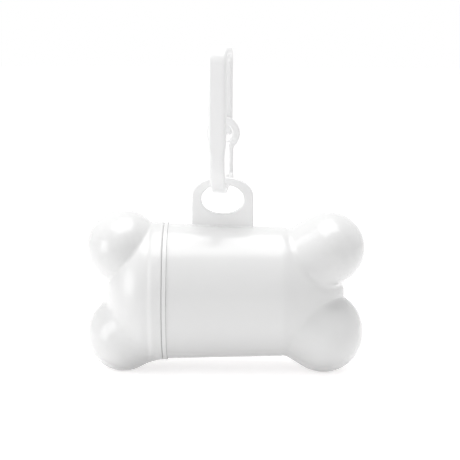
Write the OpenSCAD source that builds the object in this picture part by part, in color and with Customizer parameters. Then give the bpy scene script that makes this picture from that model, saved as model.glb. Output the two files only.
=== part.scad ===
// Bone-shaped dispenser for a roll of bags, with a screw cap, an eyelet tab and a hook clip.
// X runs along the bone with the cap at -X, the bags come out on the +Y side, and +Z is up.
// The part stands on z = 0 on the feet cut under its two lower bulbs.

/* [Bone] */
// Overall height across the bulbs, before the feet are cut
bone_h = 49.2; // [48:0.1:54]
// Radius of the two bulbs on the cap
cap_bulb_r = 11.2; // [10:0.1:12]
// Radius of the two bulbs on the fixed end
end_bulb_r = 12.2; // [11.4:0.1:12.6]
// Distance along the bone from a fixed end bulb's centre back to the start of its stem
bulb_stem_back = 14.4; // [12:0.1:15]
// Height of that start above or below the bone's axis
bulb_stem_up = 4.7; // [3:0.1:5]
// Wall of the two bone ends
shell_wall = 1.8; // [1.4:0.1:2.2]
// Depth of the flat foot cut under each lower bulb
foot_cut = 0.5; // [0.3:0.1:1]

/* [Tube] */
// How far the cap's rim and the ring stand out over the tube's mouth
rim_step = 0.35; // [0.1:0.05:0.6]
// How much the tube's radius narrows from its mouth to the fixed end
tube_narrowing = 0.95; // [0.2:0.05:1.2]
// Wall of the tube
tube_wall = 1.8; // [1.4:0.1:2]
// Thickness of the tube's shoulder, where the neck starts
shoulder_t = 2; // [1.5:0.1:3]
// Length of the fixed end, from the tube to the tips of its bulbs
fixed_end_l = 25.65; // [24:0.05:28]
// Length of the spigot that plugs the fixed end into the tube
spigot_l = 4; // [2:0.5:6]
// Wall of the spigot
spigot_wall = 1.4; // [1:0.1:1.6]

/* [Slot] */
// Length of the slot that the bags are pulled through
slot_l = 28; // [20:0.5:30]
// Width of the slot
slot_w = 6; // [5:0.1:8]

/* [Cap] */
// Diameter of the cap's rim
cap_d = 42; // [41.4:0.1:43.6]
// Length of the cap, from its rim to the tips of its bulbs
cap_l = 23.3; // [22:0.1:27]
// How far the cap's domed end stays inside the tips of its bulbs
cap_dome_inset = 5.8; // [4:0.1:8]
// Radius of the round edge of that domed end
cap_edge_r = 13.3; // [10:0.1:15]
// Depth of the threaded sleeve inside the cap
sleeve_l = 7.4; // [6.5:0.1:8]
// Wall of the threaded sleeve
sleeve_wall = 1.2; // [1:0.1:1.4]
// How far the sleeve sits behind the cap's rim
sleeve_inset = 0.3; // [0.2:0.1:0.8]

/* [Neck and thread] */
// Length of the tube's neck from the shoulder
neck_l = 9.2; // [8.8:0.1:10]
// Wall of the neck
neck_wall = 1.4; // [1.1:0.1:1.6]
// Width of the ring between the cap and the tube
ring_w = 1.2; // [0.8:0.1:1.6]
// Advance of the thread in one full turn
thread_lead = 12; // [11:0.5:13]
// Number of thread starts round the neck
thread_starts = 3; // [3:3]
// Height of the thread ribs
thread_h = 0.6; // [0.4:0.1:0.7]
// Width of a thread rib at its root
thread_w = 1.4; // [1:0.1:1.5]
// Turn covered by each rib on the neck
neck_rib_turn = 120; // [90:10:130]
// Turn covered by each rib in the sleeve
sleeve_rib_turn = 60; // [40:10:80]
// Distance from the shoulder to the start of the thread
thread_start = 2.4; // [2:0.1:2.8]

/* [Eyelet tab] */
// Width of the tab
tab_w = 18.6; // [17:0.1:22]
// Thickness of the tab
tab_t = 2.6; // [2:0.1:3.2]
// Height of the tab's round top
tab_arch_h = 6.1; // [5.8:0.1:7]
// Distance of the tab's middle from the bone's middle, towards the cap
tab_off = 1.1; // [0:0.1:3]
// Width of the eyelet
eyelet_w = 12.8; // [12:0.1:14]
// Height of the eyelet
eyelet_h = 8.8; // [8.4:0.1:10]
// Height of the eyelet's centre above the crown of the tube's mouth
eyelet_up = 7.65; // [7:0.05:9]
// Plastic left over the top of the eyelet
eyelet_rim = 2.3; // [1.8:0.1:3.5]

/* [Clip] */
// Overall height of the clip
clip_h = 44.25; // [42:0.05:50]
// Overall depth of the clip, from its spine to its nose
clip_depth = 24; // [22:0.1:26]
// Width of the clip's spine, top and nose
clip_w = 5.4; // [5:0.1:6]
// Thickness of the clip's spine, top and nose
clip_t = 2.6; // [2.3:0.1:3]
// Outer radius of the clip's two top corners
clip_corner_r = 5; // [4:0.1:7]
// Width of the bar that runs through the eyelet
bar_w = 4.6; // [4:0.1:4.8]
// Thickness of that bar
bar_t = 2.2; // [2:0.1:2.4]
// Radius of the clip's rounded edges
clip_edge_r = 0.98; // [0.6:0.02:0.98]
// Length of the taper between the bar and the spine
taper_l = 4; // [2:0.5:6]
// Height of the bar's middle above the eyelet's centre
bar_up = 2.7; // [2.4:0.05:2.75]
// Distance of the clip's middle from the eyelet's middle, towards the cap
clip_off = 0.75; // [0:0.05:0.8]
// Height of the nose's tip above the clip's bottom
nose_tip_up = 17; // [15:0.1:19]
// Turn of the clip about the vertical, seen from above
clip_yaw = 5; // [0:0.5:8]

/* [Gate] */
// Angle round the clip's bottom bend at which the gate's pin sits
pin_angle = 40; // [36:1:46]
// Radius of the gate's pin
pin_r = 0.8; // [0.7:0.05:0.9]
// Running clearance round the pin
pin_clear = 0.05; // [0.03:0.01:0.1]
// Width of the clip's lug between the gate's prongs
lug_w = 3.6; // [3:0.1:3.8]
// Radius of the lug's round end
lug_r = 1.7; // [1.5:0.05:1.9]
// Gap between the lug and each prong
prong_gap = 0.1; // [0.05:0.01:0.3]
// Width of each prong
prong_w = 1.3; // [1:0.1:1.5]
// Thickness of the gate
gate_t = 1.6; // [1.2:0.1:1.8]
// Gap between the gate and the nose
gate_gap = 0.3; // [0.2:0.05:0.6]
// Outer radius of the gate's finger ring
finger_ring_r = 5.2; // [4.8:0.1:6]
// Inner radius of the gate's finger ring
finger_hole_r = 2.75; // [2.3:0.05:3]
// Height of the finger ring's centre above the nose's tip
finger_ring_up = 0.75; // [0:0.05:2]

/* [Bag roll] */
// Length of the roll, which the tube's length follows
roll_l = 57; // [54:0.5:66]
// Space between the roll and the cap's domed end
roll_end_gap = 4.5; // [4.2:0.1:6]
// Diameter of a full roll
roll_d = 26; // [20:0.5:27.5]
// Bore of the roll's cardboard core
core_bore_d = 10; // [8:0.5:14]
// Wall of the cardboard core
core_wall = 0.9; // [0.6:0.1:1.5]
// Width of the gathered bag that leads out of the slot
tail_w = 24; // [16:0.5:26]
// Thickness of that gathered bag
tail_t = 0.4; // [0.2:0.1:0.6]

/* [Hidden] */

shell_color = [0.95, 0.95, 0.94];
clip_color = [0.93, 0.93, 0.93];
card_color = [0.72, 0.58, 0.42];
film_color = [0.80, 0.84, 0.86];
$fn = 96;

// Gaps between pieces that touch or move past each other.
cap_gap = 0.25;
ring_gap = 0.1;
fit_gap = 0.05;
thread_gap = 0.2;
soft_gap = 0.3;
// How far a rib or a tab is sunk into the wall that carries it.
sunk = 0.4;
// How far a cut runs past the face that it opens.
past = 1;

// Radii from the cap's rim inwards to the neck's bore.
sleeve_out_r = cap_d / 2 - shell_wall - fit_gap;
sleeve_in_r = sleeve_out_r - sleeve_wall;
neck_crest_r = sleeve_in_r - thread_gap;
neck_r = neck_crest_r - thread_h;
neck_bore_r = neck_r - neck_wall;
sleeve_crest_r = neck_r + thread_gap;

// The tube follows the cap's rim, and is long enough for the roll, whose far end reaches into
// the fixed end's half ball and a little way into the hollows of its bulbs.
tube_mouth_r = cap_d / 2 - rim_step;
tube_end_r = tube_mouth_r - tube_narrowing;
bulb_room = 1.21;
roll_reach = sqrt(pow(tube_end_r - shell_wall, 2) - pow(neck_bore_r - soft_gap, 2)) + bulb_room;
cap_dome_l = cap_l - cap_dome_inset;
tube_l = roll_l + roll_end_gap + shell_wall - roll_reach - cap_dome_l - cap_gap - ring_w - ring_gap;

// Places along the bone, with its middle at x = 0.
bone_l = cap_l + cap_gap + ring_w + ring_gap + tube_l + fixed_end_l;
cap_tip_x = -bone_l / 2;
rim_x = cap_tip_x + cap_l;
ring_x = rim_x + cap_gap;
mouth_x = ring_x + ring_w + ring_gap;
tube_end_x = mouth_x + tube_l;
end_tip_x = bone_l / 2;

// Heights.
axis_z = bone_h / 2 - foot_cut;
cap_bulb_z = bone_h / 2 - cap_bulb_r;
end_bulb_z = bone_h / 2 - end_bulb_r;
cap_bulb_x = cap_tip_x + cap_bulb_r;
end_bulb_x = end_tip_x - end_bulb_r;

// The thread on the neck.
thread_pitch = thread_lead / thread_starts;
neck_thread_x = mouth_x - thread_start - neck_rib_turn / 360 * thread_lead - thread_w;

// The tube's bore follows its tapered outside.
bore_x = mouth_x + shoulder_t;
function tube_r(x) = tube_mouth_r - tube_narrowing * (x - mouth_x) / tube_l;
function bore_r(x) = tube_r(x) - tube_wall;

// The eyelet, and the clip's place in it.
tab_x = -tab_off;
eyelet_z = axis_z + tube_mouth_r + eyelet_up;
tab_top_z = eyelet_z + eyelet_h / 2 + eyelet_rim;
clip_z = eyelet_z + bar_up - bar_t / 2;

// Places in the clip, measured from its bottom, with y = 0 halfway between spine and nose.
bend_r = clip_depth / 2;
bar_mid_r = bend_r - bar_t / 2;
pin_y = bar_mid_r * sin(pin_angle);
pin_z = bend_r - bar_mid_r * cos(pin_angle);
eye_r = lug_r + sunk;
// The wide bar stops short of the gate's turning eyes.
wide_bar_end = pin_angle - asin((eye_r + soft_gap) / bar_mid_r);
nose_in_y = clip_depth / 2 - clip_t;
gate_y = nose_in_y - gate_gap - gate_t / 2;
prong_x = lug_w / 2 + prong_gap + prong_w / 2;
finger_ring_z = nose_tip_up + finger_ring_up;

// The roll rests in the neck's bore, and its last bag leads under it to the slot.
roll_r = roll_d / 2;
roll_x = rim_x - cap_dome_l + shell_wall + roll_end_gap + roll_l / 2;
roll_z = axis_z - (neck_bore_r - roll_r - soft_gap);
core_r = core_bore_d / 2 + core_wall;
slot_x = (mouth_x + tube_end_x) / 2;
slot_low_z = axis_z - slot_w / 2;
tail_lip_y = bore_r(slot_x) - soft_gap - tail_t;
tail_lip_z = slot_low_z + soft_gap + tail_t / 2;
tail_out_y = tube_r(slot_x) - soft_gap;

// Turns a shape drawn along +Z so that it lies along +X at height z.
module along_x(x, z) translate([x, 0, z]) rotate([0, 90, 0]) children();

// A disc or bar of radius r from x0 to x1 on the axis at height z.
module rod_x(r, x0, x1, z = axis_z) along_x(x0, z) cylinder(r = r, h = x1 - x0);

// Fills the space below the floor, for cutting feet.
module below_floor() translate([-bone_l, -bone_l, -bone_l]) cube([2 * bone_l, 2 * bone_l, bone_l]);

// Half outline of a domed plug of radius r and length l, with a round edge.
module dome_outline(r, l, edge_r) {
    square([r, l - edge_r]);
    square([r - edge_r, l]);
    translate([r - edge_r, l - edge_r]) intersection() {
        circle(r = edge_r);
        square(edge_r);
    }
}

// A domed plug on the bone's axis from x towards +X.
module dome(x, r, l, edge_r) along_x(x, axis_z) rotate_extrude() dome_outline(r, l, edge_r);

module cap_dome(inset) mirror([1, 0, 0])
    dome(-rim_x, cap_d / 2 - inset, cap_dome_l - inset, cap_edge_r - inset);

module cap_form(inset) {
    cap_dome(inset);
    for (side = [-1, 1])
        translate([cap_bulb_x, 0, axis_z + side * cap_bulb_z]) sphere(r = cap_bulb_r - inset);
}

// A bulb on a stem of its own radius that slants out of the tube's end.
module stemmed_bulb(side, inset) {
    rise = end_bulb_z - bulb_stem_up;
    stem_l = norm([rise, bulb_stem_back]);
    translate([end_bulb_x - bulb_stem_back, 0, axis_z + side * bulb_stem_up])
        rotate([0, 90 - side * atan2(rise, bulb_stem_back), 0]) {
            cylinder(r = end_bulb_r - inset, h = stem_l);
            translate([0, 0, stem_l]) sphere(r = end_bulb_r - inset);
        }
}

// The tube's end closes as a half ball, with a bulb above and below.
module end_form(inset) {
    translate([tube_end_x, 0, axis_z]) sphere(r = tube_end_r - inset);
    for (side = [-1, 1]) stemmed_bulb(side, inset);
}

// A helical rib round the X axis, right-handed, from angle a0 at x0, with its root at root_r.
module thread_rib(x0, a0, turn, root_r, crest_r) {
    steps = ceil(turn / 10);
    crest_w = thread_w * 0.55;
    function place(i) = [x0 + thread_w / 2 + i / steps * turn / 360 * thread_lead, a0 + i / steps * turn];
    function corner(i, dx, r) = [place(i)[0] + dx, r * cos(place(i)[1]), axis_z + r * sin(place(i)[1])];
    points = [for (i = [0:steps], c = [[-thread_w, root_r], [thread_w, root_r], [crest_w, crest_r],
        [-crest_w, crest_r]]) corner(i, c[0] / 2, c[1])];
    up = crest_r > root_r;
    side_faces = [for (i = [0:steps - 1], k = [0:3], half = [0, 1])
        let (a = 4 * i + k, b = 4 * i + (k + 1) % 4, c = b + 4, d = a + 4)
            half == 0 ? [a, b, c] : [a, c, d]];
    last = 4 * steps;
    end_faces = [[0, 2, 1], [0, 3, 2], [last, last + 1, last + 2], [last, last + 2, last + 3]];
    faces = concat(side_faces, end_faces);
    polyhedron(points, up ? [for (f = faces) [f[2], f[1], f[0]]] : faces);
}

module tube() {
    color(shell_color) difference() {
        union() {
            along_x(mouth_x, axis_z) cylinder(r1 = tube_mouth_r, r2 = tube_end_r, h = tube_l);
            rod_x(neck_r, mouth_x - neck_l, mouth_x + sunk);
            for (s = [1:thread_starts])
                thread_rib(neck_thread_x, s * 360 / thread_starts, neck_rib_turn, neck_r - sunk, neck_crest_r);
            eyelet_tab();
        }
        rod_x(neck_bore_r, mouth_x - neck_l - past, bore_x + past);
        along_x(bore_x, axis_z) cylinder(r1 = bore_r(bore_x), r2 = bore_r(tube_end_x + past),
            h = tube_end_x + past - bore_x);
        slot_cut();
    }
}

// The slot goes through the tube's +Y wall only.
module slot_cut() {
    half = slot_l / 2 - slot_w / 2;
    translate([slot_x, 0, axis_z]) rotate([-90, 0, 0]) {
        translate([-half, -slot_w / 2, 0]) cube([2 * half, slot_w, cap_d]);
        for (side = [-1, 1]) translate([side * half, 0, 0]) cylinder(d = slot_w, h = cap_d);
    }
}

// An oval of four arcs that meet without a corner.
module oval(w, h) {
    b = h / 2;
    end_r = 0.79 * b;
    c = w / 2 - end_r;
    flat_r = (c * c + b * b - end_r * end_r) / 2 / (b - end_r);
    meet_x = c * (1 + end_r / norm([c, flat_r - b]));
    intersection() {
        translate([0, b - flat_r]) circle(r = flat_r);
        translate([0, flat_r - b]) circle(r = flat_r);
        square([2 * meet_x, h], center = true);
    }
    for (side = [-1, 1]) translate([side * c, 0]) circle(r = end_r);
}

module eyelet_tab() {
    root_z = axis_z + tube_r(tab_x + tab_w / 2) - tube_wall + sunk;
    arch_z = tab_top_z - tab_arch_h;
    translate([tab_x, tab_t / 2, 0]) rotate([90, 0, 0]) linear_extrude(tab_t) difference() {
        union() {
            translate([0, arch_z]) oval(tab_w, 2 * tab_arch_h);
            translate([-tab_w / 2, root_z]) square([tab_w, arch_z - root_z]);
        }
        translate([0, eyelet_z]) oval(eyelet_w, eyelet_h);
    }
}

module fixed_end() {
    color(shell_color) difference() {
        union() {
            difference() {
                end_form(0);
                rod_x(cap_d, cap_tip_x, tube_end_x);
                end_form(shell_wall);
            }
            spigot();
        }
        below_floor();
    }
}

// A ring that grows out of the fixed end's wall and plugs into the tube.
module spigot() {
    fit_r = bore_r(tube_end_x) - fit_gap;
    root_x = tube_end_x + shell_wall;
    difference() {
        union() {
            rod_x(fit_r, tube_end_x - spigot_l, root_x);
            rod_x(fit_r + fit_gap + sunk, tube_end_x, root_x);
        }
        rod_x(fit_r - spigot_wall, tube_end_x - spigot_l - past, root_x + past);
    }
}

module neck_ring() {
    color(shell_color) difference() {
        rod_x(cap_d / 2, ring_x, ring_x + ring_w);
        rod_x(neck_r + ring_gap, ring_x - past, ring_x + ring_w + past);
    }
}

module cap_shell() {
    color(shell_color) difference() {
        cap_form(0);
        cap_form(shell_wall);
        rod_x(cap_d / 2 - shell_wall, rim_x - shell_wall, rim_x + past);
        below_floor();
    }
}

// The sleeve's deep end is cut to the dome that it is glued in.
module cap_sleeve() {
    sleeve_x = rim_x - sleeve_inset - sleeve_l;
    color(shell_color) {
        difference() {
            intersection() {
                rod_x(sleeve_out_r, sleeve_x, sleeve_x + sleeve_l);
                cap_dome(shell_wall + fit_gap);
            }
            rod_x(sleeve_in_r, sleeve_x - past, sleeve_x + sleeve_l + past);
        }
        for (s = [1:thread_starts])
            thread_rib(neck_thread_x + thread_pitch / 2, s * 360 / thread_starts, sleeve_rib_turn,
                sleeve_in_r + sunk, sleeve_crest_r);
    }
}

module roll_core() {
    color(card_color) difference() {
        rod_x(core_r, roll_x - roll_l / 2, roll_x + roll_l / 2, roll_z);
        rod_x(core_bore_d / 2, roll_x - roll_l / 2 - past, roll_x + roll_l / 2 + past, roll_z);
    }
}

module bag_roll() {
    color(film_color) difference() {
        rod_x(roll_r, roll_x - roll_l / 2, roll_x + roll_l / 2, roll_z);
        rod_x(core_r + fit_gap, roll_x - roll_l / 2 - past, roll_x + roll_l / 2 + past, roll_z);
    }
}

// The bag leaves the underside of the roll, bends at the slot's lip and ends in the slot.
module bag_tail() {
    leave_r = roll_r + soft_gap + tail_t / 2;
    to_lip = [tail_lip_y, tail_lip_z - roll_z];
    turn = atan2(to_lip[1], to_lip[0]) - acos(leave_r / norm(to_lip));
    leave = [leave_r * cos(turn), roll_z + leave_r * sin(turn)];
    side = tail_t / 2 * [cos(turn), sin(turn)];
    half = tail_t / 2;
    lip = [tail_lip_y, tail_lip_z];
    color(film_color) translate([slot_x - tail_w / 2, 0, 0]) rotate([90, 0, 90]) linear_extrude(tail_w)
        polygon([leave - side, leave + side, lip + [half, -half], [tail_out_y, tail_lip_z - half],
            [tail_out_y, tail_lip_z + half], lip + [-half, half]]);
}

// Puts the clip's pieces in the eyelet, turned about the vertical.
module in_eyelet() translate([tab_x - clip_off, 0, clip_z]) rotate([0, 0, -clip_yaw]) children();

// Cross-section of the clip: w across, t thick, with round edges.
module bar_section(w, t) {
    square([w - 2 * clip_edge_r, t], center = true);
    square([w, t - 2 * clip_edge_r], center = true);
    for (i = [-1, 1], j = [-1, 1])
        translate([i * (w / 2 - clip_edge_r), j * (t / 2 - clip_edge_r)]) circle(r = clip_edge_r);
}

// Lays a shape drawn round +Z round +X, with its +X to +Y and its +Y to +Z.
module about_x() rotate(120, [1, 1, 1]) children();

// A bar that bends from angle a0 to a1 about the X axis, where 0 points to +Y and 90 to +Z.
module bent_bar(w, t, r, a0, a1)
    about_x() rotate([0, 0, a0]) rotate_extrude(angle = a1 - a0)
        translate([r, 0]) rotate(90) bar_section(w, t);

// A straight bar that stands at depth y from height z0 to z1.
module upright_bar(w, t, y, z0, z1) translate([0, y, z0]) linear_extrude(z1 - z0) bar_section(w, t);

module clip_frame() {
    color(clip_color) in_eyelet() difference() {
        union() {
            clip_bend();
            clip_spine();
            clip_top();
            upright_bar(clip_w, clip_t, bend_r - clip_t / 2, nose_tip_up + clip_t / 2, clip_h - clip_corner_r);
            nose_tip();
        }
        translate([-lug_w, pin_y, pin_z]) rotate([0, 90, 0]) cylinder(r = pin_r + pin_clear, h = 2 * lug_w);
    }
}

module clip_bend() {
    translate([0, 0, bend_r]) {
        bent_bar(bar_w, bar_t, bar_mid_r, -180, -90 + wide_bar_end);
        bent_bar(lug_w, bar_t, bar_mid_r, -90, -90 + pin_angle);
    }
    translate([-lug_w / 2, pin_y, pin_z]) rotate([0, 90, 0]) cylinder(r = lug_r, h = lug_w);
}

module clip_spine() {
    thin = 0.01;
    hull() {
        upright_bar(bar_w, bar_t, bar_t / 2 - bend_r, bend_r, bend_r + thin, $fn = 32);
        upright_bar(clip_w, clip_t, clip_t / 2 - bend_r, bend_r + taper_l, bend_r + taper_l + thin, $fn = 32);
    }
    upright_bar(clip_w, clip_t, clip_t / 2 - bend_r, bend_r + taper_l, clip_h - clip_corner_r);
}

module clip_top() {
    mid_r = clip_corner_r - clip_t / 2;
    straight = bend_r - clip_corner_r;
    translate([0, straight, clip_h - clip_corner_r]) bent_bar(clip_w, clip_t, mid_r, 0, 90);
    translate([0, -straight, clip_h - clip_corner_r]) bent_bar(clip_w, clip_t, mid_r, 90, 180);
    translate([0, straight, clip_h - clip_t / 2]) rotate([90, 0, 0])
        linear_extrude(2 * straight) bar_section(clip_w, clip_t);
}

// The nose ends in a half turn of its own cross-section.
module nose_tip() {
    translate([0, bend_r - clip_t / 2, nose_tip_up + clip_t / 2]) about_x() rotate_extrude()
        intersection() {
            rotate(90) bar_section(clip_w, clip_t);
            translate([0, -clip_w / 2]) square([clip_t, clip_w]);
        }
}

module clip_gate() {
    color(clip_color) in_eyelet() {
        translate([0, gate_y + gate_t / 2, finger_ring_z]) rotate([90, 0, 0]) difference() {
            cylinder(r = finger_ring_r, h = gate_t);
            translate([0, 0, -past]) cylinder(r = finger_hole_r, h = gate_t + 2 * past);
        }
        prong_top = finger_ring_z - finger_hole_r - sunk;
        difference() {
            for (side = [-1, 1]) translate([side * prong_x - prong_w / 2, 0, 0]) {
                translate([0, gate_y - gate_t / 2, pin_z]) cube([prong_w, gate_t, prong_top - pin_z]);
                translate([0, pin_y, pin_z]) rotate([0, 90, 0]) cylinder(r = eye_r, h = prong_w);
            }
            translate([-lug_w, pin_y, pin_z]) rotate([0, 90, 0]) cylinder(r = pin_r, h = 2 * lug_w);
        }
    }
}

module gate_pin() {
    half = prong_x + prong_w / 2;
    color(clip_color) in_eyelet() translate([-half, pin_y, pin_z]) rotate([0, 90, 0])
        cylinder(r = pin_r, h = 2 * half);
}

tube();
fixed_end();
neck_ring();
cap_shell();
cap_sleeve();
roll_core();
bag_roll();
bag_tail();
clip_frame();
clip_gate();
gate_pin();
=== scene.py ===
import math

import bmesh
import bpy
import numpy as np
from mathutils import Matrix, Vector


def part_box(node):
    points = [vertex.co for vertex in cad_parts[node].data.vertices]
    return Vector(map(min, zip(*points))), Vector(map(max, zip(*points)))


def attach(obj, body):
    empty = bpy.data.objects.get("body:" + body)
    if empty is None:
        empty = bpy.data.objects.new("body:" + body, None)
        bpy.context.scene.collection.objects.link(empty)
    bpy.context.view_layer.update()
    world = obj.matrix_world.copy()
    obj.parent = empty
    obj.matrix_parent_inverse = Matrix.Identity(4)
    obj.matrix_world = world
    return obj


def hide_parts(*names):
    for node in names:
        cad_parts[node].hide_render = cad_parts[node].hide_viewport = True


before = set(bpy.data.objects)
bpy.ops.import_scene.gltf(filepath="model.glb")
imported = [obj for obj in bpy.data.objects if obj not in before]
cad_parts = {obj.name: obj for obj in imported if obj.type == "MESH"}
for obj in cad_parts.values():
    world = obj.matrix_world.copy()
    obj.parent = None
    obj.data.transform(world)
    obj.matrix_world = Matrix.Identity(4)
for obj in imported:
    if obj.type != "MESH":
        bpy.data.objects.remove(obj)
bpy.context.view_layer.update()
mm = 0.001                    # shapes are worked out in millimetres and built in metres
fullTurn = 2 * math.pi


def cornersOf(node):
    low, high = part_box(node)
    return np.array(low) / mm, np.array(high) / mm


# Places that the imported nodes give. The gaps on both sides of the ring are narrowed to hairlines.
seam = {"rim": 0.17, "mouth": 0.03}
ringLow, ringHigh = cornersOf("neck_ring")
tubeLow, tubeHigh = cornersOf("tube")
coreLow, coreHigh = cornersOf("roll_core")
rollLow, rollHigh = cornersOf("bag_roll")
axisZ = (ringLow[2] + ringHigh[2]) / 2
rimX = cornersOf("cap_shell")[1][0] + seam["rim"]
mouthX = ringHigh[0] + seam["mouth"]
neckTipX, tubeEndX = tubeLow[0], tubeHigh[0]
rollZ = (rollLow[2] + rollHigh[2]) / 2
rollR = (rollHigh[2] - rollLow[2]) / 2


def length(*parts):
    return np.sqrt(sum(p * p for p in parts))


def smooth(t):
    t = np.clip(t, 0, 1)
    return t * t * (3 - 2 * t)


def melt(a, b, soft):
    # joins two distance fields with a fillet about as wide as soft
    h = np.clip(0.5 + 0.5 * (b - a) / soft, 0, 1)
    return b * (1 - h) + a * h - soft * h * (1 - h)


def carve(a, b, soft):
    return -melt(-a, b, soft)


def rounded(edge, *walls):
    # distance to what all walls enclose, with round edges
    q = [wall + edge for wall in walls]
    outside = length(*[np.maximum(v, 0) for v in q])
    inside = np.minimum(np.maximum.reduce(q), 0)
    return outside + inside - edge


def roundBox(halfs, edge, *coords):
    return rounded(edge, *[np.abs(c) - h for c, h in zip(coords, halfs)])


def stemBall(p, start, end, startR, endR):
    # distance to a ball on a tapered stem
    sx, sy, sz = (p[..., i] - start[i] for i in range(3))
    line = np.array(end, float) - np.array(start, float)
    along = np.clip((sx * line[0] + sy * line[1] + sz * line[2]) / line.dot(line), 0, 1)
    away = length(sx - along * line[0], sy - along * line[1], sz - along * line[2])
    return away - (startR + (endR - startR) * along)


def superOval(u, v, halfW, halfH, power):
    # distance to an oval that nears a rectangle as the power grows
    lu, lv = np.abs(u / halfW), np.abs(v / halfH)
    k = (lu ** power + lv ** power + 1e-9) ** (1 / power)
    slope = length(lu ** (power - 1) / halfW, lv ** (power - 1) / halfH) * k ** (1 - power)
    return (k - 1) / np.maximum(slope, 1e-6)


def domeField(along, r, deep, radius, power):
    # distance to a blunt dome that starts at along = 0, and to a plain cylinder before it
    u, v = np.maximum(along, 0) / deep, r / radius
    k = (u ** power + v ** power + 1e-9) ** (1 / power)
    slope = length(u ** (power - 1) / deep, v ** (power - 1) / radius) * k ** (1 - power)
    return np.where(along > 0, (k - 1) / np.maximum(slope, 1e-3), r - radius)


def castSkin(field, origins, directions, level=0.0, reach=34.0, halvings=34):
    # walks each ray from inside the shape to where the field reaches the level
    near = np.zeros(origins.shape[:-1])
    far = np.full(origins.shape[:-1], reach)
    for _ in range(halvings):
        middle = (near + far) / 2
        inside = field(origins + directions * middle[..., None]) < level
        near = np.where(inside, middle, near)
        far = np.where(inside, far, middle)
    return origins + directions * near[..., None]


def around(x, radius, turn):
    # points on rings round the bone's axis; turn 0 points to +Y and a quarter turn to +Z
    x, radius, turn = np.broadcast_arrays(x, radius, turn)
    return np.stack([x, radius * np.cos(turn), axisZ + radius * np.sin(turn)], axis=-1)


def standFlat(points):
    # the two lower bulbs stand on small flats
    points[..., 2] = np.maximum(points[..., 2], 0.0)
    return points


class MeshMaker:
    # gathers the points and faces of one piece
    weld = 1e-7

    def __init__(self):
        self.points, self.faces, self.count = [], [], 0

    def add(self, points):
        points = np.asarray(points, float)
        ids = self.count + np.arange(points[..., 0].size).reshape(points.shape[:-1])
        self.points.append(points.reshape(-1, 3))
        self.count += ids.size
        return ids

    def sheet(self, ids, loopRows=False, loopCols=False, skip=None):
        if loopRows:
            ids = np.vstack([ids, ids[:1]])
        if loopCols:
            ids = np.hstack([ids, ids[:, :1]])
        quads = np.stack([ids[:-1, :-1], ids[1:, :-1], ids[1:, 1:], ids[:-1, 1:]], axis=-1)
        if skip is not None:
            quads = quads[~skip]
        self.faces.extend(quads.reshape(-1, 4).tolist())

    def bridge(self, one, other):
        self.sheet(np.vstack([one[None], other[None]]), loopCols=True)

    def fan(self, ring, centre):
        middle = self.add(np.array([centre]))[0]
        for a, b in zip(ring, np.roll(ring, -1)):
            self.faces.append([int(a), int(b), int(middle)])

    def build(self, name, material, body, stands=()):
        mesh = bpy.data.meshes.new(name)
        mesh.from_pydata((np.concatenate(self.points) * mm).tolist(), [], self.faces)
        work = bmesh.new()
        work.from_mesh(mesh)
        bmesh.ops.remove_doubles(work, verts=work.verts, dist=self.weld)
        bmesh.ops.recalc_face_normals(work, faces=work.faces)
        work.to_mesh(mesh)
        work.free()
        mesh.shade_smooth()
        piece = bpy.data.objects.new(name, mesh)
        bpy.context.scene.collection.objects.link(piece)
        mesh.materials.append(material)
        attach(piece, body)
        if stands:
            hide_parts(*stands)
        return piece


wrap = {"rounds": 4, "relax": 0.5, "pulls": 2, "nudge": 0.02, "leastSlope": 0.2}


def pullOnto(field, points, step):
    # moves points along the field's slope onto its surface
    nudge = wrap["nudge"] * step
    slope = np.stack([field(points + nudge * side) - field(points - nudge * side) for side in np.eye(3)],
                     axis=-1) / (2 * nudge)
    steep = np.maximum((slope ** 2).sum(-1, keepdims=True), wrap["leastSlope"])
    return points - np.clip(field(points)[:, None] * slope / steep, -step, step)


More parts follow.
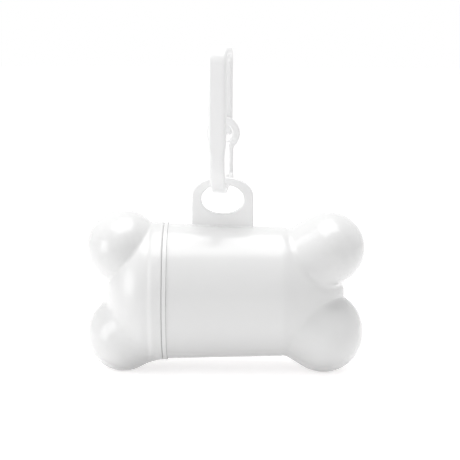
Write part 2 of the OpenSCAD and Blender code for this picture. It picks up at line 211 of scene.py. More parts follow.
def meshField(maker, field, low, high, step):
    # wraps a distance field in quads: one point per crossed cell, then pulled onto the field
    low, high = np.array(low, float), np.array(high, float)
    size = np.ceil((high - low) / step).astype(int) + 1
    axes = [low[i] + step * np.arange(size[i]) for i in range(3)]
    grid = np.stack(np.meshgrid(*axes, indexing="ij"), axis=-1)
    value = field(grid)
    inside = value < 0
    sums = np.zeros(tuple(size - 1) + (3,))
    hits = np.zeros(tuple(size - 1))
    quads = []
    for axis in range(3):
        a, b = [slice(None)] * 3, [slice(None)] * 3
        a[axis], b[axis] = slice(None, -1), slice(1, None)
        crossed = np.argwhere(inside[tuple(a)] != inside[tuple(b)])
        u, v = (axis + 1) % 3, (axis + 2) % 3
        keep = (crossed[:, u] > 0) & (crossed[:, v] > 0)
        keep &= (crossed[:, u] < size[u] - 1) & (crossed[:, v] < size[v] - 1)
        crossed = crossed[keep]
        ahead = crossed.copy()
        ahead[:, axis] += 1
        v0, v1 = value[tuple(crossed.T)], value[tuple(ahead.T)]
        where = grid[tuple(crossed.T)].copy()
        where[:, axis] += step * v0 / (v0 - v1)
        corner = []
        for du, dv in ((-1, -1), (0, -1), (0, 0), (-1, 0)):
            cell = crossed.copy()
            cell[:, u] += du
            cell[:, v] += dv
            np.add.at(sums, tuple(cell.T), where)
            np.add.at(hits, tuple(cell.T), 1)
            corner.append(np.ravel_multi_index(tuple(cell.T), tuple(size - 1)))
        quads.append(np.stack(corner, axis=-1))
    used = np.flatnonzero(hits.ravel() > 0)
    points = sums.reshape(-1, 3)[used] / hits.ravel()[used, None]
    quads = np.searchsorted(used, np.concatenate(quads))
    ends = np.concatenate([quads[:, [i, (i + 1) % 4]] for i in range(4)])
    for lap in range(wrap["rounds"]):
        if lap < wrap["rounds"] - 1:
            near, number = np.zeros_like(points), np.zeros(len(points))
            for one, other in ((0, 1), (1, 0)):
                np.add.at(near, ends[:, one], points[ends[:, other]])
                np.add.at(number, ends[:, one], 1)
            points = points + wrap["relax"] * (near / number[:, None] - points)
        for _ in range(wrap["pulls"]):
            points = pullOnto(field, points, step)
    ids = maker.add(points)
    maker.faces.extend(ids[quads].tolist())


class Wire:
    # a socket that takes part in shader maths
    def __init__(self, recipe, socket):
        self.recipe, self.socket = recipe, socket

    def join(self, operation, a, b):
        return self.recipe.node("ShaderNodeMath", {0: a, 1: b}, operation=operation)

    def __add__(self, other): return self.join("ADD", self, other)
    def __radd__(self, other): return self.join("ADD", other, self)
    def __sub__(self, other): return self.join("SUBTRACT", self, other)
    def __mul__(self, other): return self.join("MULTIPLY", self, other)
    def __or__(self, other): return self.join("MAXIMUM", self, other)


class Recipe:
    # a node tree under construction
    def __init__(self, owner):
        owner.use_nodes = True
        self.owner, self.tree = owner, owner.node_tree
        self.tree.nodes.clear()

    def node(self, kind, sockets=None, out=0, **settings):
        made = self.tree.nodes.new(kind)
        for key, value in settings.items():
            setattr(made, key, value)
        for key, value in (sockets or {}).items():
            if isinstance(value, Wire):
                self.tree.links.new(value.socket, made.inputs[key])
            else:
                made.inputs[key].default_value = value
        return Wire(self, made.outputs[out])

    def place(self):
        return self.node("ShaderNodeTexCoord", out="Object")

    def noise(self, where, scale, detail, rough, stretch=None):
        if stretch:
            where = self.node("ShaderNodeMapping", {"Vector": where, "Scale": stretch})
        return self.node("ShaderNodeTexNoise",
                         {"Vector": where, "Scale": scale, "Detail": detail, "Roughness": rough})

    def tint(self, factor, dark, light):
        return self.node("ShaderNodeMix", {0: factor, 6: tuple(dark) + (1,), 7: tuple(light) + (1,)},
                         out=2, data_type="RGBA")

    def bump(self, height, strength, distance):
        return self.node("ShaderNodeBump", {"Height": height, "Strength": strength, "Distance": distance})

    def finish(self, surface):
        world = isinstance(self.owner, bpy.types.World)
        made = self.tree.nodes.new("ShaderNodeOutputWorld" if world else "ShaderNodeOutputMaterial")
        self.tree.links.new(surface.socket, made.inputs["Surface"])
        return self.owner


def mouldedPlastic(name, look):
    r = Recipe(bpy.data.materials.new(name))
    where = r.place()
    flow, grain, scuff = (r.noise(where, *look[key]) for key in ("flow", "grain", "scuff"))
    shine = look["roughness"] + (flow - 0.5) * look["roughnessFlow"] + (scuff - 0.5) * look["roughnessScuff"]
    waves = flow * look["waveShare"] + grain * (1 - look["waveShare"])
    return r.finish(r.node("ShaderNodeBsdfPrincipled", {
        "Base Color": r.tint(flow, look["dark"], look["light"]),
        "Roughness": shine,
        "IOR": look["ior"],
        "Specular IOR Level": look["specular"],
        "Coat Weight": look["coat"],
        "Coat Roughness": look["coatRoughness"],
        "Normal": r.bump(waves, look["bump"], look["bumpDepth"]),
    }))


def cardBoard(name, look):
    r = Recipe(bpy.data.materials.new(name))
    where = r.place()
    fibre, cloud = (r.noise(where, *look[key]) for key in ("fibre", "cloud"))
    mask = fibre * look["fibreShare"] + cloud * (1 - look["fibreShare"])
    return r.finish(r.node("ShaderNodeBsdfPrincipled", {
        "Base Color": r.tint(mask, look["dark"], look["light"]),
        "Roughness": look["roughness"] + (cloud - 0.5) * look["roughnessCloud"],
        "Normal": r.bump(fibre, look["bump"], look["bumpDepth"]),
    }))


def bagFilm(name, look):
    r = Recipe(bpy.data.materials.new(name))
    where = r.place()
    crease, haze = (r.noise(where, *look[key]) for key in ("crease", "haze"))
    return r.finish(r.node("ShaderNodeBsdfPrincipled", {
        "Base Color": r.tint(haze, look["dark"], look["light"]),
        "Roughness": look["roughness"] + (crease - 0.5) * look["roughnessCrease"],
        "Normal": r.bump(crease, look["bump"], look["bumpDepth"]),
    }))


# noises are given as scale, detail, roughness and stretch
# painted shade: the shell's white is darkened below the plastic's own white, so its middle renders grey
shellLookShaded = {
    "dark": (0.80, 0.80, 0.80), "light": (0.83, 0.83, 0.827),
    "flow": (60, 4, 0.55, (0.4, 1, 1)), "grain": (2600, 3, 0.6), "scuff": (300, 6, 0.7, (1, 6, 1)),
    "roughness": 0.25, "roughnessFlow": 0.05, "roughnessScuff": 0.03,
    "waveShare": 0.3, "bump": 0.04, "bumpDepth": 0.0002,
    "ior": 1.49, "specular": 0.5, "coat": 0.25, "coatRoughness": 0.15,
}
# painted light: the tab is the shell's own plastic, given a lighter copy of its colour
tabLookLit = dict(shellLookShaded, dark=(0.95, 0.95, 0.95), light=(0.965, 0.965, 0.965))
# the clip's white plastic, made lighter than the shell as painted light
clipLookLit = dict(shellLookShaded, dark=(0.94, 0.94, 0.942), light=(0.96, 0.96, 0.96), roughness=0.34,
                flow=(140, 4, 0.55, (0.4, 1, 1)))
cardLook = {
    "dark": (0.38, 0.27, 0.17), "light": (0.62, 0.48, 0.34),
    "fibre": (900, 6, 0.7, (0.25, 1, 1)), "cloud": (120, 3, 0.5), "fibreShare": 0.6,
    "roughness": 0.82, "roughnessCloud": 0.15, "bump": 0.4, "bumpDepth": 0.0001,
}
filmLook = {
    "dark": (0.72, 0.78, 0.80), "light": (0.84, 0.88, 0.90),
    "crease": (420, 5, 0.6, (0.5, 1, 1)), "haze": (90, 3, 0.5),
    "roughness": 0.36, "roughnessCrease": 0.2, "bump": 0.35, "bumpDepth": 0.0003,
}
# one white plastic in two copies: darkened for the shell as painted shade, lightened for the tab as painted light
shellPlasticShaded = mouldedPlastic("whiteShellPlasticShaded", shellLookShaded)
tabPlasticLit = mouldedPlastic("whiteTabPlasticLit", tabLookLit)
# painted light: the clip's material is a lightened white
clipPlasticLit = mouldedPlastic("whiteClipPlasticLit", clipLookLit)
coreCard = cardBoard("rollCard", cardLook)
filmPlastic = bagFilm("paleBagFilm", filmLook)
print("materials made")


bone = {
    "turns": 256, "wall": 1.8, "rimFillet": 0.2, "shoulderFillet": 0.08,
    "lobeDepth": 1.3,                                           # the bulbs are deeper than high
    "capR": 20.91, "collarX": -22.4, "collarEdge": 0.9, "collarMelt": 1.0, "pastRim": 10,
    "capDomeR": 20.5, "capDomeTip": -36.45, "domePower": 2.05,
    "capLobes": [((-31.05, 0, 13.4), 11.2, 0.7),                # place, radius, blend
                 ((-31.05, 0, -13.4), 11.2, 3.5)],
    "mouthR": 20.65, "endR": 19.7, "endTip": 36.3, "endPower": 1.5, "endWall": 1.05, "endBlend": 0.8,
    "endLobes": [((20.5, 0, 6.6), (31.2, 0, 13.4), 11.6, 11.0),         # stem, place and their radii
                 ((19.5, 0, -6.0), (29.9, 0, -12.25), 12.2, 12.3)],
}
turn = np.linspace(0, fullTurn, bone["turns"], endpoint=False)


def capField(p):
    x, y, z = p[..., 0], p[..., 1], p[..., 2] - axisZ
    r = length(y, z)
    farX = rimX + bone["pastRim"]
    collar = roundBox((bone["capR"], farX - bone["collarX"]), bone["collarEdge"], r, x - farX)
    deep = bone["collarX"] - bone["capDomeTip"]
    dome = domeField(bone["collarX"] - x, r, deep, bone["capDomeR"], bone["domePower"])
    body = melt(collar, dome, bone["collarMelt"])
    for (cx, cy, cz), radius, blend in bone["capLobes"]:
        body = melt(body, length(x - cx, (y - cy) / bone["lobeDepth"], z - cz) - radius, blend)
    return body


def tubeR(x):
    share = (x - mouthX) / (tubeEndX - mouthX)
    return bone["mouthR"] + (bone["endR"] - bone["mouthR"]) * share


def bodyField(p):
    x, y, z = p[..., 0], p[..., 1], p[..., 2] - axisZ
    r = length(y, z)
    dome = domeField(x - tubeEndX, r, bone["endTip"] - tubeEndX, bone["endR"], bone["endPower"])
    body = np.where(x < tubeEndX, r - tubeR(x), dome)
    local = np.stack([x, y / bone["lobeDepth"], z], axis=-1)
    for lobe in bone["endLobes"]:
        body = melt(body, stemBall(local, *lobe), bone["endBlend"])
    return body


def coneRays(originX, lean):
    # rings of rays: lean 90 degrees goes straight out from the axis, 0 along it
    originX, lean = np.asarray(originX)[:, None], np.asarray(lean)[:, None]
    spread = np.broadcast_to(turn, (originX.shape[0], len(turn)))
    origins = np.stack([np.broadcast_to(originX, spread.shape), 0 * spread, 0 * spread + axisZ], axis=-1)
    directions = np.stack([np.broadcast_to(np.cos(lean), spread.shape), np.sin(lean) * np.cos(spread),
                           np.sin(lean) * np.sin(spread)], axis=-1)
    return origins, directions


def straightRays(xs):
    return coneRays(xs, np.full(len(xs), math.pi / 2))


def lip(x, radius, fillet, startAngle, endAngle, steps=5):
    # rings that round an edge: angles in degrees in the plane of x and radius
    angles = np.radians(np.linspace(startAngle, endAngle, steps))
    return [around(x + fillet * math.cos(a), radius + fillet * math.sin(a), turn) for a in angles]


capMesh = {
    "centreX": -26.5, "poleLean": 178.6, "domeLean": 100, "domeRows": 130, "foldLean": 99, "foldRows": 10,
    "tubeX": -26.4, "tubeRows": 26,
}


def makeCap():
    maker = MeshMaker()
    f, wall = bone["rimFillet"], bone["wall"]
    dome = np.linspace(capMesh["poleLean"], capMesh["domeLean"], capMesh["domeRows"])
    fold = np.linspace(capMesh["foldLean"], 90, capMesh["foldRows"])[:-1]
    lean = np.radians(np.concatenate([dome, fold]))
    centres = np.full(lean.shape, capMesh["centreX"])
    tubeX = np.linspace(capMesh["tubeX"], rimX - f, capMesh["tubeRows"])
    rows = [*castSkin(capField, *coneRays(centres, lean)), *castSkin(capField, *straightRays(tubeX))]
    rows += lip(rimX - f, bone["capR"] - f, f, 80, 0)
    rows += lip(rimX - f, bone["capR"] - wall + f, f, 0, -90, 3)
    # the inside, with fewer rows
    rows += [*castSkin(capField, *straightRays(tubeX[::2]), level=-wall)[::-1],
             *castSkin(capField, *coneRays(centres[::3], lean[::3]), level=-wall)[::-1]]
    ids = maker.add(standFlat(np.array(rows)))
    maker.sheet(ids, loopCols=True)
    for end in (0, -1):
        maker.fan(ids[end], np.mean(rows[end], axis=0))
    return maker.build("capSkin", shellPlasticShaded, "cap", ["cap_shell"])


neck = {
    "r": 17.15, "boreR": 15.75, "shoulderT": 2.0, "tipFillet": 0.4, "rootFillet": 0.3,
    "lead": 12.0, "starts": 3, "ribH": 0.6, "ribW": 1.4, "ribTurn": 120, "fromShoulder": 2.4,
    "fadeTurn": 14, "fadeEarly": 2, "flankEnd": 1.05, "flank": 0.5, "turnBack": 30,
    "firstX": 0.45, "stepX": 0.14, "boreFrom": 0.8, "boreTo": 0.3, "boreRows": 14,
    "shelfEdge": (0.15, 0.1), "shelfFrom": 0.35, "shelfR": 18.2,
}
slot = {
    "x": -0.4, "halfL": 14.0, "halfW": 3.0, "fillet": 0.45, "tubeR": 20.2,
    "padX": 2.3, "padV": 3.2, "rings": 7,
}
bodyMesh = {
    "straightX": 16.3, "tubeRows": 70, "innerFewer": 3,
    "foldLean": 84, "foldRows": 9, "poleLean": 1.2, "domeRows": 130, "shift": 4.7, "shiftPace": 1.2, "thinPace": 4,
}


def ribHeight(x, angle):
    # height of the thread over the neck at each point
    start = mouthX - neck["fromShoulder"] - neck["ribTurn"] / 360 * neck["lead"] - neck["ribW"] / 2
    height = np.zeros(np.broadcast(x, angle).shape)
    for s in range(neck["starts"]):
        along = np.degrees(angle) - s * 360 / neck["starts"]
        along = (along + neck["turnBack"]) % 360 - neck["turnBack"]
        middle = start + along / 360 * neck["lead"]
        early, late = along + neck["fadeEarly"], neck["ribTurn"] + neck["fadeEarly"] - along
        taper = smooth(early / neck["fadeTurn"]) * smooth(late / neck["fadeTurn"])
        across = np.abs(x - middle) / (neck["ribW"] / 2)
        height = np.maximum(height, neck["ribH"] * taper * smooth((neck["flankEnd"] - across) / neck["flank"]))
    return height


def neckRings(f):
    # the shoulder, the threaded neck, its bore and the shelf inside the tube
    r, boreR, tipF, rootF = neck["r"], neck["boreR"], neck["tipFillet"], neck["rootFillet"]
    tipX, shelfX = neckTipX + tipF, mouthX + neck["shoulderT"]
    rings = lip(mouthX + f, bone["mouthR"] - f, f, 170, 100)[::-1]
    rings += [around(mouthX, at, turn) for at in np.linspace(bone["mouthR"] - f, r + rootF, 5)]
    rings += [around(mouthX - rootF * (1 - math.cos(a)), r + rootF * (1 - math.sin(a)), turn)
              for a in np.radians([30, 60, 90])]
    rings += [around(x, r + ribHeight(x, turn), turn)
              for x in np.arange(mouthX - neck["firstX"], tipX, -neck["stepX"])]
    rings += lip(tipX, r - tipF, tipF, 90, 180) + lip(tipX, boreR + tipF, tipF, 180, 270)
    boreX = np.linspace(neckTipX + neck["boreFrom"], shelfX - neck["boreTo"], neck["boreRows"])
    rings += [around(x, boreR, turn) for x in boreX]
    back, up = neck["shelfEdge"]
    rings += [around(shelfX - back, boreR + up, turn)]
    rings += [around(shelfX, at, turn) for at in np.linspace(boreR + neck["shelfFrom"], neck["shelfR"], 4)]
    return np.array(rings)


def slotRings(radiusAt, x, v, inward):
    # rows from the patch's outline to the slot, and over this skin's share of the slot's round edge
    fillet, halfStraight = slot["fillet"], slot["halfL"] - slot["halfW"]
    core = np.clip(x - slot["x"], -halfStraight, halfStraight)
    awayX = x - slot["x"] - core
    away = length(awayX, v)
    edge = slot["halfW"] + fillet
    steps = [(away + (edge - away) * share, 0.0) for share in np.linspace(0, 1, slot["rings"])[1:]]
    steps += [(slot["halfW"] + fillet * (1 - math.sin(a)), inward * fillet * (1 - math.cos(a)))
              for a in np.radians([22.5, 45, 67.5, 90])]
    rows = []
    for reach, depth in steps:
        rowX, rowV = slot["x"] + core + awayX / away * reach, v / away * reach
        y = np.sqrt(np.maximum(radiusAt(rowX) ** 2 - rowV ** 2, 0)) - depth
        rows.append(np.stack([rowX, y, axisZ + rowV], axis=-1))
    return np.array(rows)


def makeBody():
    maker = MeshMaker()
    f, wall, straightX = bone["shoulderFillet"], bone["wall"], bodyMesh["straightX"]
    # outside, from the shoulder's edge to the pole between the fixed end's bulbs
    tubeX = np.linspace(mouthX + f, straightX, bodyMesh["tubeRows"])
    fold = np.linspace(90, bodyMesh["foldLean"], bodyMesh["foldRows"])[1:]
    dome = np.linspace(bodyMesh["foldLean"], bodyMesh["poleLean"], bodyMesh["domeRows"])[1:]
    lean = np.radians(np.concatenate([fold, dome]))
    t = np.linspace(0, 1, len(lean))
    centres = straightX + bodyMesh["shift"] * smooth(t * bodyMesh["shiftPace"])
    outer = standFlat(np.concatenate([castSkin(bodyField, *straightRays(tubeX)),
                                      castSkin(bodyField, *coneRays(centres, lean))]))
    # inside, with fewer rows; the wall gets thinner to leave room for the roll's end
    innerX = np.linspace(mouthX + neck["shoulderT"], straightX, len(tubeX) - bodyMesh["innerFewer"])
    thinner = wall - (wall - bone["endWall"]) * smooth(t * bodyMesh["thinPace"])
    inner = standFlat(np.concatenate([
        castSkin(bodyField, *straightRays(innerX), level=-wall),
        castSkin(bodyField, *coneRays(centres[::3], lean[::3]), level=-thinner[::3, None])]))

    # the slot's patch lies on the same columns of both skins, and its column 0 comes first
    halfPatch = math.asin((slot["halfW"] + slot["padV"]) / slot["tubeR"])
    cols = int(round(halfPatch / (turn[1] - turn[0])))
    order = np.roll(np.arange(len(turn)), cols)
    outerIds, frontIds, innerIds = (maker.add(points)[:, order] for points in (outer, neckRings(f), inner))
    outer, inner = outer[:, order], inner[:, order]
    # both skins take as many rows across the patch, so their outlines match point for point
    reach = slot["halfL"] + slot["padX"]
    spans = [[int(np.argmin(np.abs(xs - slot["x"] - end))) for end in (-reach, reach)] for xs in (tubeX, innerX)]
    count = min(high - low for low, high in spans)
    edges = []
    for ids, points, (low, _), level, inward in ((outerIds, outer, spans[0], 0.0, 1),
                                                 (innerIds, inner, spans[1], wall, -1)):
        high = low + count
        skip = np.zeros((ids.shape[0] - 1, ids.shape[1]), bool)
        skip[low:high, 0:2 * cols] = True
        maker.sheet(ids, loopCols=True, skip=skip)
        walk = [(i, 0) for i in range(low, high)] + [(high, j) for j in range(2 * cols)]
        walk += [(i, 2 * cols) for i in range(high, low, -1)] + [(low, j) for j in range(2 * cols, 0, -1)]
        outline = np.array([ids[at] for at in walk])
        place = np.array([points[at] for at in walk])
        rings = slotRings(lambda x, w=level: tubeR(x) - w, place[:, 0], place[:, 2] - axisZ, inward)
        more = maker.add(rings)
        maker.sheet(np.vstack([outline[None], more]), loopCols=True)
        edges.append(more[-1])
    maker.bridge(*edges)
    maker.sheet(frontIds, loopCols=True)
    maker.bridge(outerIds[0], frontIds[0])
    maker.bridge(frontIds[-1], innerIds[0])
    for ids, points in ((outerIds, outer), (innerIds, inner)):
        maker.fan(ids[-1], np.mean(points[-1], axis=0))
    return maker.build("boneBody", shellPlasticShaded, "body", ["tube", "fixed_end"])


makeCap()
makeBody()
print("bone made")


tab = {
    "x": -1.1, "w": 18.6, "t": 2.6, "topZ": 59.1, "archH": 6.1, "archPower": 2.15,
    "holeW": 12.8, "holeH": 8.8, "holeZ": 52.4, "holePower": 2.1, "edge": 0.45, "holeEdge": 0.6,
    "rootBlend": 0.5, "rootSink": 0.12, "rootDepth": 0.6,
    "margin": 2.4, "headroom": 0.6, "lowZ": 42.0, "step": 0.22,
}


def tabField(p):
    x, y, z = p[..., 0] - tab["x"], p[..., 1], p[..., 2]
    archZ = tab["topZ"] - tab["archH"]
    outline = superOval(x, np.maximum(z - archZ, 0), tab["w"] / 2, tab["archH"], tab["archPower"])
    outline = np.where(z < archZ, np.abs(x) - tab["w"] / 2, outline)
    hole = superOval(x, z - tab["holeZ"], tab["holeW"] / 2, tab["holeH"] / 2, tab["holePower"])
    slab = carve(rounded(tab["edge"], outline, np.abs(y) - tab["t"] / 2), hole, tab["holeEdge"])
    tubeSkin = length(y, z - axisZ) - tubeR(p[..., 0]) + tab["rootSink"]
    joined = melt(slab, tubeSkin, tab["rootBlend"])
    # the tab and its root's fillet, down to just under the tube's skin
    return np.maximum.reduce([joined, slab - tab["rootBlend"], -(tubeSkin + tab["rootDepth"])])


def makeTab():
    maker = MeshMaker()
    sideX, sideY = tab["w"] / 2 + tab["margin"], tab["t"] / 2 + tab["margin"]
    meshField(maker, tabField, (tab["x"] - sideX, -sideY, tab["lowZ"]),
              (tab["x"] + sideX, sideY, tab["topZ"] + tab["headroom"]), tab["step"])
    return maker.build("eyeletTab", tabPlasticLit, "body")


makeTab()
print("tab made")


clip = {
    "x": -1.85, "z": 54.0, "yaw": 5.0,
    "h": 44.25, "depth": 24.0, "w": 5.4, "t": 2.6, "cornerR": 5.0, "barW": 4.6, "barT": 2.2, "edge": 0.98,
    "overlap": 0.25, "taper": 4.0, "noseUp": 17.0,
    "pinAngle": 40.0, "pinR": 0.8, "pinGap": 0.05, "holeEdge": 0.1,
    "lugW": 3.6, "lugR": 1.7, "lugEdge": 0.35, "lugBlend": 0.6, "narrowAngle": 19, "narrowOver": 6,
    "halfX": 3.1, "margin": 0.5, "step": 0.2,
}
gate = {
    "y": 8.3, "t": 1.6, "ringZ": 17.75, "ringR": 5.2, "holeR": 2.75, "ringEdge": 0.7,
    "prongW": 1.3, "prongGap": 0.1, "prongSink": 0.4, "edge": 0.42, "forkTop": 0.55, "forkGap": 0.6,
    "eyeR": 2.1, "eyeEdge": 0.3, "eyeBlend": 0.5, "blend": 0.9, "pinGap": 0.02, "holeEdge": 0.1,
    "lowY": 4.4, "highY": 9.8, "margin": 0.4, "step": 0.15,
}
clip["barR"] = clip["depth"] / 2 - clip["barT"] / 2
clip["pinY"] = clip["barR"] * math.sin(math.radians(clip["pinAngle"]))
clip["pinZ"] = clip["depth"] / 2 - clip["barR"] * math.cos(math.radians(clip["pinAngle"]))
wayOff = 9.0                  # farther than the clip's parts are wide


def barField(across, through):
    return roundBox((clip["w"] / 2, clip["t"] / 2), clip["edge"], across, through)


def clipField(p):
    # the parts run on past their ends by the overlap, so no slit opens between them
    x, y, z = p[..., 0], p[..., 1], p[..., 2]
    half, t, topZ, over = clip["depth"] / 2, clip["t"], clip["h"], clip["overlap"]
    cornerZ = topZ - clip["cornerR"]
    # the spine widens from the bar's section to its own
    share = smooth((z - half) / clip["taper"])
    spineW = clip["barW"] + (clip["w"] - clip["barW"]) * share
    spineT = clip["barT"] + (t - clip["barT"]) * share
    spine = rounded(clip["edge"], np.abs(x) - spineW / 2, np.abs(y + half - spineT / 2) - spineT / 2)
    spine = np.maximum(spine, np.maximum(half - z, z - cornerZ) - over)
    # top corners and the straight between them
    straight = half - clip["cornerR"]
    cy, cz = np.abs(y) - straight, z - cornerZ
    corners = barField(x, length(cy, cz) - (clip["cornerR"] - t / 2))
    corners = np.maximum(corners, np.maximum(-cy, -cz) - over)
    top = np.maximum(barField(x, z - topZ + t / 2), np.abs(y) - straight - over)
    # the nose hangs from the far corner and ends round
    down = np.maximum(clip["noseUp"] + t / 2 - z, 0)
    nose = np.maximum(barField(x, length(y - half + t / 2, down)), z - cornerZ - over)
    # the bend at the bottom, narrower at the pin's lug; its angle is 0 at the bottom and grows to the pin
    angle = np.degrees(np.arctan2(y, half - z))
    narrow = smooth((angle - clip["pinAngle"] + clip["narrowAngle"]) / clip["narrowOver"])
    bendW = clip["barW"] + (clip["lugW"] - clip["barW"]) * narrow
    ring = length(y, z - half) - clip["barR"]
    bend = rounded(clip["edge"], np.abs(x) - bendW / 2, np.abs(ring) - clip["barT"] / 2)
    bend = np.maximum(bend, (angle - clip["pinAngle"]) * clip["barR"] * math.pi / 180)
    bend = np.maximum(bend, np.where(z > half, np.where(y < 0, z - half - over, wayOff), -wayOff))
    pinAway = length(y - clip["pinY"], z - clip["pinZ"])
    lug = roundBox((clip["lugR"], clip["lugW"] / 2), clip["lugEdge"], pinAway, x)
    body = np.minimum.reduce([spine, corners, top, nose, melt(bend, lug, clip["lugBlend"])])
    return carve(body, pinAway - clip["pinR"] - clip["pinGap"], clip["holeEdge"])


def gateField(p):
    x, y, z = p[..., 0], p[..., 1] - gate["y"], p[..., 2]
    ringR, holeR, prongW = gate["ringR"], gate["holeR"], gate["prongW"]
    away = length(x, z - gate["ringZ"]) - (ringR + holeR) / 2
    ring = roundBox(((ringR - holeR) / 2, gate["t"] / 2), gate["ringEdge"], away, y)
    fromProng = np.abs(x) - (clip["lugW"] / 2 + gate["prongGap"] + prongW / 2)
    topZ = gate["ringZ"] - holeR - gate["prongSink"]
    midZ, halfZ = (clip["pinZ"] + topZ) / 2, (topZ - clip["pinZ"]) / 2
    prong = roundBox((prongW / 2, gate["t"] / 2, halfZ), gate["edge"], fromProng, y, z - midZ)
    pinAway = length(p[..., 1] - clip["pinY"], z - clip["pinZ"])
    eye = roundBox((gate["eyeR"], prongW / 2), gate["eyeEdge"], pinAway, fromProng)
    body = melt(ring, melt(prong, eye, gate["eyeBlend"]), gate["blend"])
    # the fork stays open round the lug
    fork = clip["lugW"] / 2 + gate["prongGap"] * gate["forkGap"] - np.abs(x)
    body = np.maximum(body, np.where(z < gate["ringZ"] - ringR * gate["forkTop"], fork, -wayOff))
    return carve(body, pinAway - clip["pinR"] - gate["pinGap"], gate["holeEdge"])


def inEyelet(maker):
    # turns the clip's own coordinates into the bone's
    yaw = math.radians(-clip["yaw"])
    spin = np.array([[math.cos(yaw), -math.sin(yaw), 0], [math.sin(yaw), math.cos(yaw), 0], [0, 0, 1]])
    maker.points = [pts @ spin.T + np.array([clip["x"], 0, clip["z"]]) for pts in maker.points]


def makeClip():
    maker = MeshMaker()
    halfY, room = clip["depth"] / 2 + clip["margin"], clip["margin"]
    meshField(maker, clipField, (-clip["halfX"], -halfY, -room), (clip["halfX"], halfY, clip["h"] + room),
              clip["step"])
    inEyelet(maker)
    maker.build("clipHook", clipPlasticLit, "clip", ["clip_frame"])
    maker = MeshMaker()
    halfX, room = gate["ringR"] + gate["margin"], gate["margin"]
    meshField(maker, gateField, (-halfX, gate["lowY"], clip["pinZ"] - gate["eyeR"] - room),
              (halfX, gate["highY"], gate["ringZ"] + gate["ringR"] + room), gate["step"])
    inEyelet(maker)
    maker.build("clipGate", clipPlasticLit, "gate", ["clip_gate"])


makeClip()
print("clip made")


roll = {
    "turns": 144, "seed": 7, "coreGap": 0.05, "boreIn": 0.3, "boreRows": 12,
    "layers": 9, "layerDepth": 0.16, "faceRows": 90, "faceIn": 0.02, "faceEdge": 0.35, "faceNoise": 0.06,
    "faceWaves": 5, "ripple": 0.10, "sideRows": 70, "sideEdge": 0.5, "sideIn": 0.03, "sideWaves": 7,
    "sideStretch": 0.16,
}
tail = {
    "w": 24.0, "t": 0.14, "columns": 121, "offRoll": 0.5, "lipY": 17.675, "lipZ": 21.6, "outY": 19.8,
    "bendFrom": 0.93, "bendTo": 0.35, "pleats": 7, "pleat": 0.32, "pleatLeast": 0.25, "pleatPower": 0.7,
    "pleatPeak": 0.9, "sway": 1.3, "swayTurns": 5, "pressShare": 0.25, "pressLeast": 0.35,
}


def waves(seed, count, *coords):
    # a seeded sum of soft sine waves, about -1 to 1
    rng = np.random.default_rng(seed)
    total = 0
    for _ in range(count):
        push = sum(rng.integers(-3, 4) * c for c in coords)
        total = total + rng.uniform(0.4, 1) * np.sin(push + rng.uniform(0, fullTurn))
    return total / count


def makeRoll():
    maker = MeshMaker()
    spin = np.linspace(0, fullTurn, roll["turns"], endpoint=False)
    coreR = (coreHigh[2] - coreLow[2]) / 2 + roll["coreGap"]
    rows = []

    def ring(x, r):
        rows.append(np.stack([x + 0 * spin, r * np.cos(spin), rollZ + r * np.sin(spin)], axis=-1))

    def face(endX, side, radii):
        # the wound layers show as a shallow spiral
        for r in radii:
            layer = (r - coreR) / (rollR - coreR) * roll["layers"]
            wave = 0.5 + 0.5 * np.sin(fullTurn * (layer - spin / fullTurn))
            uneven = 1 + waves(roll["seed"], roll["faceWaves"], spin, layer)
            ring(endX - side * (roll["faceIn"] + roll["layerDepth"] * wave + roll["faceNoise"] * uneven), r)

    radii = np.linspace(coreR, rollR - roll["faceEdge"], roll["faceRows"])
    face(rollHigh[0], 1, radii)
    for x in np.linspace(rollHigh[0] - roll["sideEdge"], rollLow[0] + roll["sideEdge"], roll["sideRows"]):
        soft = 1 + waves(roll["seed"] + 1, roll["sideWaves"], spin, x * roll["sideStretch"])
        ring(x, rollR - roll["sideIn"] - roll["ripple"] * soft)
    face(rollLow[0], -1, radii[::-1])
    for x in np.linspace(rollLow[0] + roll["boreIn"], rollHigh[0] - roll["boreIn"], roll["boreRows"]):
        ring(x, coreR)
    maker.sheet(maker.add(np.array(rows)), loopRows=True, loopCols=True)
    maker.build("bagRoll", filmPlastic, "roll", ["bag_roll"])


def tailPath():
    # from the roll's side to the slot's lip and out over it, as points of y and z
    leaveR = rollR + tail["offRoll"]
    toLip = np.array([tail["lipY"], tail["lipZ"] - rollZ])
    angle = math.atan2(toLip[1], toLip[0]) - math.acos(leaveR / math.hypot(*toLip))
    leave = np.array([leaveR * math.cos(angle), rollZ + leaveR * math.sin(angle)])
    lipPoint, out = np.array([tail["lipY"], tail["lipZ"]]), np.array([tail["outY"], tail["lipZ"]])
    path = [leave + (lipPoint - leave) * s for s in np.linspace(0, tail["bendFrom"], 22)]
    a, b = path[-1], lipPoint + (out - lipPoint) * tail["bendTo"]
    path += [a * (1 - s) ** 2 + lipPoint * 2 * s * (1 - s) + b * s * s for s in np.linspace(0, 1, 8)[1:]]
    path += [b + (out - b) * s for s in np.linspace(0, 1, 6)[1:]]
    return np.array(path)


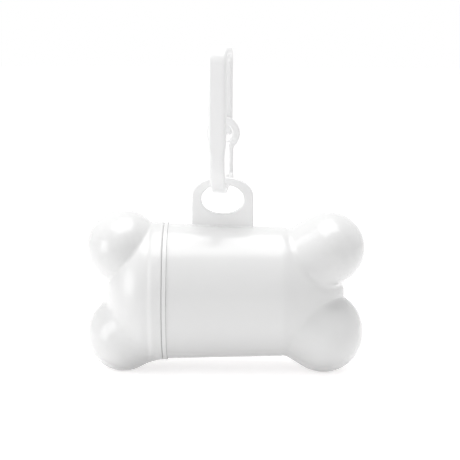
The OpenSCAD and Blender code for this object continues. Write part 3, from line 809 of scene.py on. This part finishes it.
def makeTail():
    # the gathered end of the last bag
    maker = MeshMaker()
    path = tailPath()
    tangent = np.gradient(path, axis=0)
    tangent /= np.linalg.norm(tangent, axis=1)[:, None]
    normal = np.stack([-tangent[:, 1], tangent[:, 0]], axis=-1)
    across = np.linspace(-0.5, 0.5, tail["columns"])
    share = np.linspace(0, 1, len(path))[:, None]
    swell = np.sin(math.pi * np.clip(share, 0, tail["pleatPeak"])) ** tail["pleatPower"]
    grow = tail["pleatLeast"] + (1 - tail["pleatLeast"]) * swell
    sway = tail["sway"] * np.sin(tail["swayTurns"] * across[None])
    fold = tail["pleat"] * grow * np.sin(fullTurn * tail["pleats"] * across[None] + sway)
    fold = fold * np.clip((1 - share) / tail["pressShare"], tail["pressLeast"], 1)
    ids = []
    for sign in (1, -1):
        lift = fold + sign * tail["t"] / 2
        y = path[:, 0][:, None] + normal[:, 0][:, None] * lift
        z = path[:, 1][:, None] + normal[:, 1][:, None] * lift
        x = slot["x"] + tail["w"] * across[None] + 0 * y
        ids.append(maker.add(np.stack([x, y, z], axis=-1)))
    maker.sheet(np.hstack([ids[0], ids[1][:, ::-1]]), loopCols=True)
    for end in (0, -1):
        maker.sheet(np.vstack([ids[0][end], ids[1][end]]))
    maker.build("bagTail", filmPlastic, "body", ["bag_tail"])


makeRoll()
makeTail()
print("roll made")

for node, material in (("neck_ring", shellPlasticShaded), ("cap_sleeve", shellPlasticShaded), ("gate_pin", clipPlasticLit),
                       ("roll_core", coreCard)):
    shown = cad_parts[node]
    shown.data.materials.clear()
    shown.data.materials.append(material)


studio = {
    "floorHalf": 3.0, "floorLit": 0.70, "floorGlow": 0.68, "floorTint": (1.0, 0.985, 0.985),
    "floorBounce": 0.97, "worldLight": 0.50, "worldSeen": 1.0,
    "lamps": [                                                  # name, place, size, power, target
        ("overhead", (-0.03, 0.045, 0.60), (0.55, 0.45), 2.5, (0, 0, 0.03)),
        ("leftSide", (-0.60, -0.21, 0.15), (0.35, 0.35), 1.02, (0, 0, 0.03)),
        ("rightSide", (0.55, -0.2, 0.25), (0.35, 0.4), 0.12, (0, 0, 0.03)),
    ],
}
camera = {
    "target": (1.2, 0.0, 42.9), "distance": 450.0, "pitch": 8.0, "roll": 0.4, "pixelsPerMm": 3.29, "pixels": 460,
    "sensor": 36, "near": 0.01, "far": 10,
}


def whiteRays(r):
    # 1 for what the camera, a reflection or a clear surface shows
    seen, glossy, clear = (r.node("ShaderNodeLightPath", out=ray)
                           for ray in ("Is Camera Ray", "Is Glossy Ray", "Is Transmission Ray"))
    return seen | glossy | clear


def makeFloor():
    # white where it is seen, though it keeps the shadow; see-through from below
    r = Recipe(bpy.data.materials.new("paperFloor"))
    seen = whiteRays(r)
    lit = r.node("ShaderNodeBsdfDiffuse", {"Color": (studio["floorBounce"],) * 3 + (1,)})
    faint = r.node("ShaderNodeBsdfDiffuse", {"Color": (studio["floorLit"],) * 3 + (1,)})
    glow = r.node("ShaderNodeEmission", {"Color": studio["floorTint"] + (1,), "Strength": studio["floorGlow"]})
    both = r.node("ShaderNodeAddShader", {0: faint, 1: glow})
    top = r.node("ShaderNodeMixShader", {0: seen, 1: lit, 2: both})
    under = r.node("ShaderNodeNewGeometry", out="Backfacing")
    r.finish(r.node("ShaderNodeMixShader", {0: under, 1: top, 2: r.node("ShaderNodeBsdfTransparent")}))
    half = studio["floorHalf"]
    mesh = bpy.data.meshes.new("floor")
    mesh.from_pydata([(-half, -half, 0), (half, -half, 0), (half, half, 0), (-half, half, 0)], [], [(0, 1, 2, 3)])
    mesh.materials.append(r.owner)
    floor = bpy.data.objects.new("floor", mesh)
    bpy.context.scene.collection.objects.link(floor)


def makeWorld():
    world = bpy.data.worlds.new("paleRoom")
    bpy.context.scene.world = world
    r = Recipe(world)
    seen = whiteRays(r)
    light, white = (r.node("ShaderNodeBackground", {"Color": (1, 1, 1, 1), "Strength": studio[key]})
                    for key in ("worldLight", "worldSeen"))
    r.finish(r.node("ShaderNodeMixShader", {0: seen, 1: light, 2: white}))


def makeLamps():
    for name, place, size, power, target in studio["lamps"]:
        lamp = bpy.data.lights.new(name, "AREA")
        lamp.shape, lamp.size, lamp.size_y, lamp.energy = "RECTANGLE", size[0], size[1], power
        holder = bpy.data.objects.new(name, lamp)
        holder.location = place
        holder.rotation_euler = (Vector(target) - Vector(place)).to_track_quat("-Z", "Y").to_euler()
        bpy.context.scene.collection.objects.link(holder)


def makeCamera():
    data = bpy.data.cameras.new("camera")
    seenWidth = camera["pixels"] / camera["pixelsPerMm"]
    data.sensor_width = camera["sensor"]
    data.lens = camera["sensor"] * camera["distance"] / seenWidth
    data.clip_start, data.clip_end = camera["near"], camera["far"]
    holder = bpy.data.objects.new("camera", data)
    pitch = math.radians(camera["pitch"])
    target = Vector(camera["target"]) * mm
    back = Vector((0, -math.cos(pitch), math.sin(pitch)))
    look = (-back).to_track_quat("-Z", "Y").to_matrix().to_4x4()
    holder.matrix_world = (Matrix.Translation(target + back * camera["distance"] * mm) @ look
                           @ Matrix.Rotation(math.radians(camera["roll"]), 4, "Z"))
    bpy.context.scene.collection.objects.link(holder)
    bpy.context.scene.camera = holder


makeFloor()
makeWorld()
makeLamps()
makeCamera()
bpy.context.scene.view_settings.view_transform = "Standard"
print("studio made")
